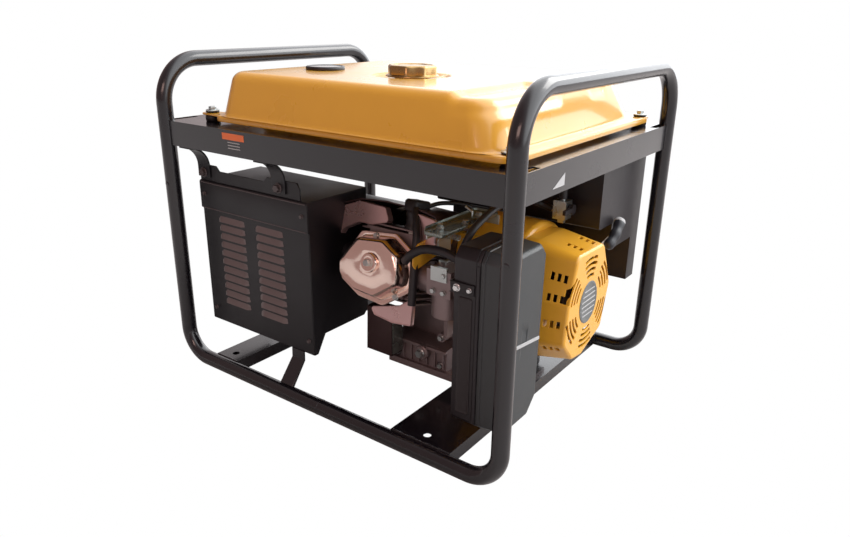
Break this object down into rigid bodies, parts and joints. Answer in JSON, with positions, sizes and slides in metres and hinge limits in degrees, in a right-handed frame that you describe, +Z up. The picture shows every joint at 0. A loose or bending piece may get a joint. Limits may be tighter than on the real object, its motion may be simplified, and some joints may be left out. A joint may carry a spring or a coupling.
{
  "type": "portable generator",
  "caption": "Open-frame portable petrol generator: tube frame, yellow tank, tilted single-cylinder engine with recoil starter, louvred muffler guard, alternator and control box.",
  "frame": {"origin": "on the ground, at the middle of the tube frame", "axes": "+X along the crankshaft towards the alternator, +Y towards the side with the cylinder head and exhaust, +Z up"},
  "size_m": [0.6854, 0.5364, 0.5434],
  "materials": {
    "frame_paint": "gloss black enamel",
    "tank_paint": "gloss golden yellow enamel",
    "shroud_paint": "semi-gloss yellow enamel",
    "polished_steel": "bright pressed steel",
    "cast_aluminium": "as-cast and machined",
    "zinc_steel": "zinc plated",
    "dark_steel": "dark steel",
    "heat_paint": "matt black heat paint",
    "black_plastic": "moulded black",
    "grey_plastic": "moulded dark grey",
    "rubber": "black rubber",
    "foam": "open foam",
    "ceramic": "glazed ceramic and steel",
    "rope": "braided starter rope",
    "red_plastic": "gauge pointer"
  },
  "bodies": {
    "root": {"ac_sockets": "grey_plastic", "air_cleaner_base": "black_plastic", "air_filter": "foam", "alternator_end_cover": "cast_aluminium", "breather_hose": "rubber", "carburetor": "cast_aluminium", "control_box": "black_plastic", "crankcase": "cast_aluminium", "crankcase_cover": "cast_aluminium", "cross_rail_alternator": "frame_paint", "cross_rail_engine": "frame_paint", "cylinder_head": "cast_aluminium", "cylinder_shroud": "polished_steel", "end_rail_alternator": "frame_paint", "end_rail_recoil": "frame_paint", "fan_housing": "shroud_paint", "filler_neck": "tank_paint", "frame_hoop_alternator_end": "frame_paint", "frame_hoop_recoil_end": "frame_paint", "fuel_cock": "zinc_steel", "fuel_gauge": "black_plastic", "fuel_hose": "rubber", "fuel_strainer": "zinc_steel", "fuel_tank": "tank_paint", "governor_bracket": "zinc_steel", "ignition_lead": "rubber", "lower_duct": "heat_paint", "mount_bolts": "zinc_steel", "muffler": "heat_paint", "muffler_brackets": "heat_paint", "muffler_shield": "heat_paint", "panel_plate": "grey_plastic", "recoil_cover": "shroud_paint", "rocker_cover": "polished_steel", "rocker_cover_bolt": "zinc_steel", "rubber_mounts": "rubber", "side_rail_back": "frame_paint", "side_rail_front": "frame_paint", "spark_plug": "ceramic", "spark_plug_cap": "rubber", "stator": "dark_steel", "tank_bolts": "zinc_steel", "tank_grommets": "rubber"},
    "crank": {"crankshaft": "dark_steel", "flywheel": "dark_steel", "rotor": "dark_steel"},
    "cap_insert": {"fuel_cap_insert": "black_plastic"},
    "cap": {"fuel_cap": "polished_steel"},
    "needle": {"gauge_needle": "red_plastic"},
    "cock_lever": {"fuel_cock_lever": "black_plastic"},
    "dipstick": {"oil_dipstick": "black_plastic"},
    "choke": {"choke_lever": "black_plastic"},
    "throttle": {"throttle_arm": "zinc_steel"},
    "cleaner_cover": {"air_cleaner_cover": "grey_plastic"},
    "starter_drum": {"recoil_pulley": "dark_steel"},
    "starter_grip": {"recoil_handle": "black_plastic", "recoil_rope": "rope"},
    "flap": {"socket_flap": "black_plastic"},
    "breaker": {"breaker_lever": "black_plastic"},
    "switch_knob": {"engine_switch": "black_plastic"}
  },
  "joints": [
    {"name": "crank_spin", "type": "hinge", "parent": "root", "child": "crank", "pos_m": [0, -0.012, 0.197], "axis": [1, 0, 0], "continuous": true},
    {"name": "fuel_cap_lift", "type": "slide", "parent": "root", "child": "cap_insert", "axis": [0, 0, 1], "range_m": [0, 0.06]},
    {"name": "fuel_cap_turn", "type": "hinge", "parent": "cap_insert", "child": "cap", "pos_m": [-0.033, 0.062, 0.52], "axis": [0, 0, 1], "range_deg": [0, 90]},
    {"name": "gauge_needle_turn", "type": "hinge", "parent": "root", "child": "needle", "pos_m": [0.135, 0.078, 0.5205], "axis": [0, 0, 1], "range_deg": [0, 90]},
    {"name": "fuel_cock_turn", "type": "hinge", "parent": "root", "child": "cock_lever", "pos_m": [-0.264, -0.05, 0.32], "axis": [1, 0, 0], "range_deg": [0, 90]},
    {"name": "dipstick_pull", "type": "slide", "parent": "root", "child": "dipstick", "axis": [0, -1, 0], "range_m": [0, 0.06]},
    {"name": "choke_turn", "type": "hinge", "parent": "root", "child": "choke", "pos_m": [-0.207, 0.18, 0.234], "axis": [0, 1, 0], "range_deg": [0, 75]},
    {"name": "throttle_turn", "type": "hinge", "parent": "root", "child": "throttle", "pos_m": [-0.16, 0.153, 0.264], "axis": [0, 0, 1], "range_deg": [0, 50]},
    {"name": "cleaner_cover_pull", "type": "slide", "parent": "root", "child": "cleaner_cover", "axis": [-1, 0, 0], "range_m": [0, 0.12]},
    {"name": "starter_pull", "type": "slide", "parent": "root", "child": "starter_grip", "axis": [-0.9397, 0, 0.3419], "range_m": [0, 0.5], "stiffness_N_per_m": 6, "springref_m": -0.05},
    {"name": "starter_drum_turn", "type": "hinge", "parent": "root", "child": "starter_drum", "pos_m": [-0.293, -0.012, 0.197], "axis": [1, 0, 0], "range_deg": [0, 640]},
    {"name": "flap_open", "type": "hinge", "parent": "root", "child": "flap", "pos_m": [-0.09, -0.2612, 0.257], "axis": [-1, 0, 0], "range_deg": [0, 90], "stiffness_Nm_per_rad": 0.02, "springref_deg": -17.19},
    {"name": "breaker_flip", "type": "hinge", "parent": "root", "child": "breaker", "pos_m": [-0.16, -0.252, 0.225], "axis": [1, 0, 0], "range_deg": [0, 35]},
    {"name": "switch_turn", "type": "hinge", "parent": "root", "child": "switch_knob", "pos_m": [-0.24, -0.255, 0.225], "axis": [0, 1, 0], "range_deg": [0, 60]}
  ],
  "couplings": [
    {"joint": "starter_drum_turn", "follows": "starter_pull", "rad_per_m": 22.2}
  ]
}
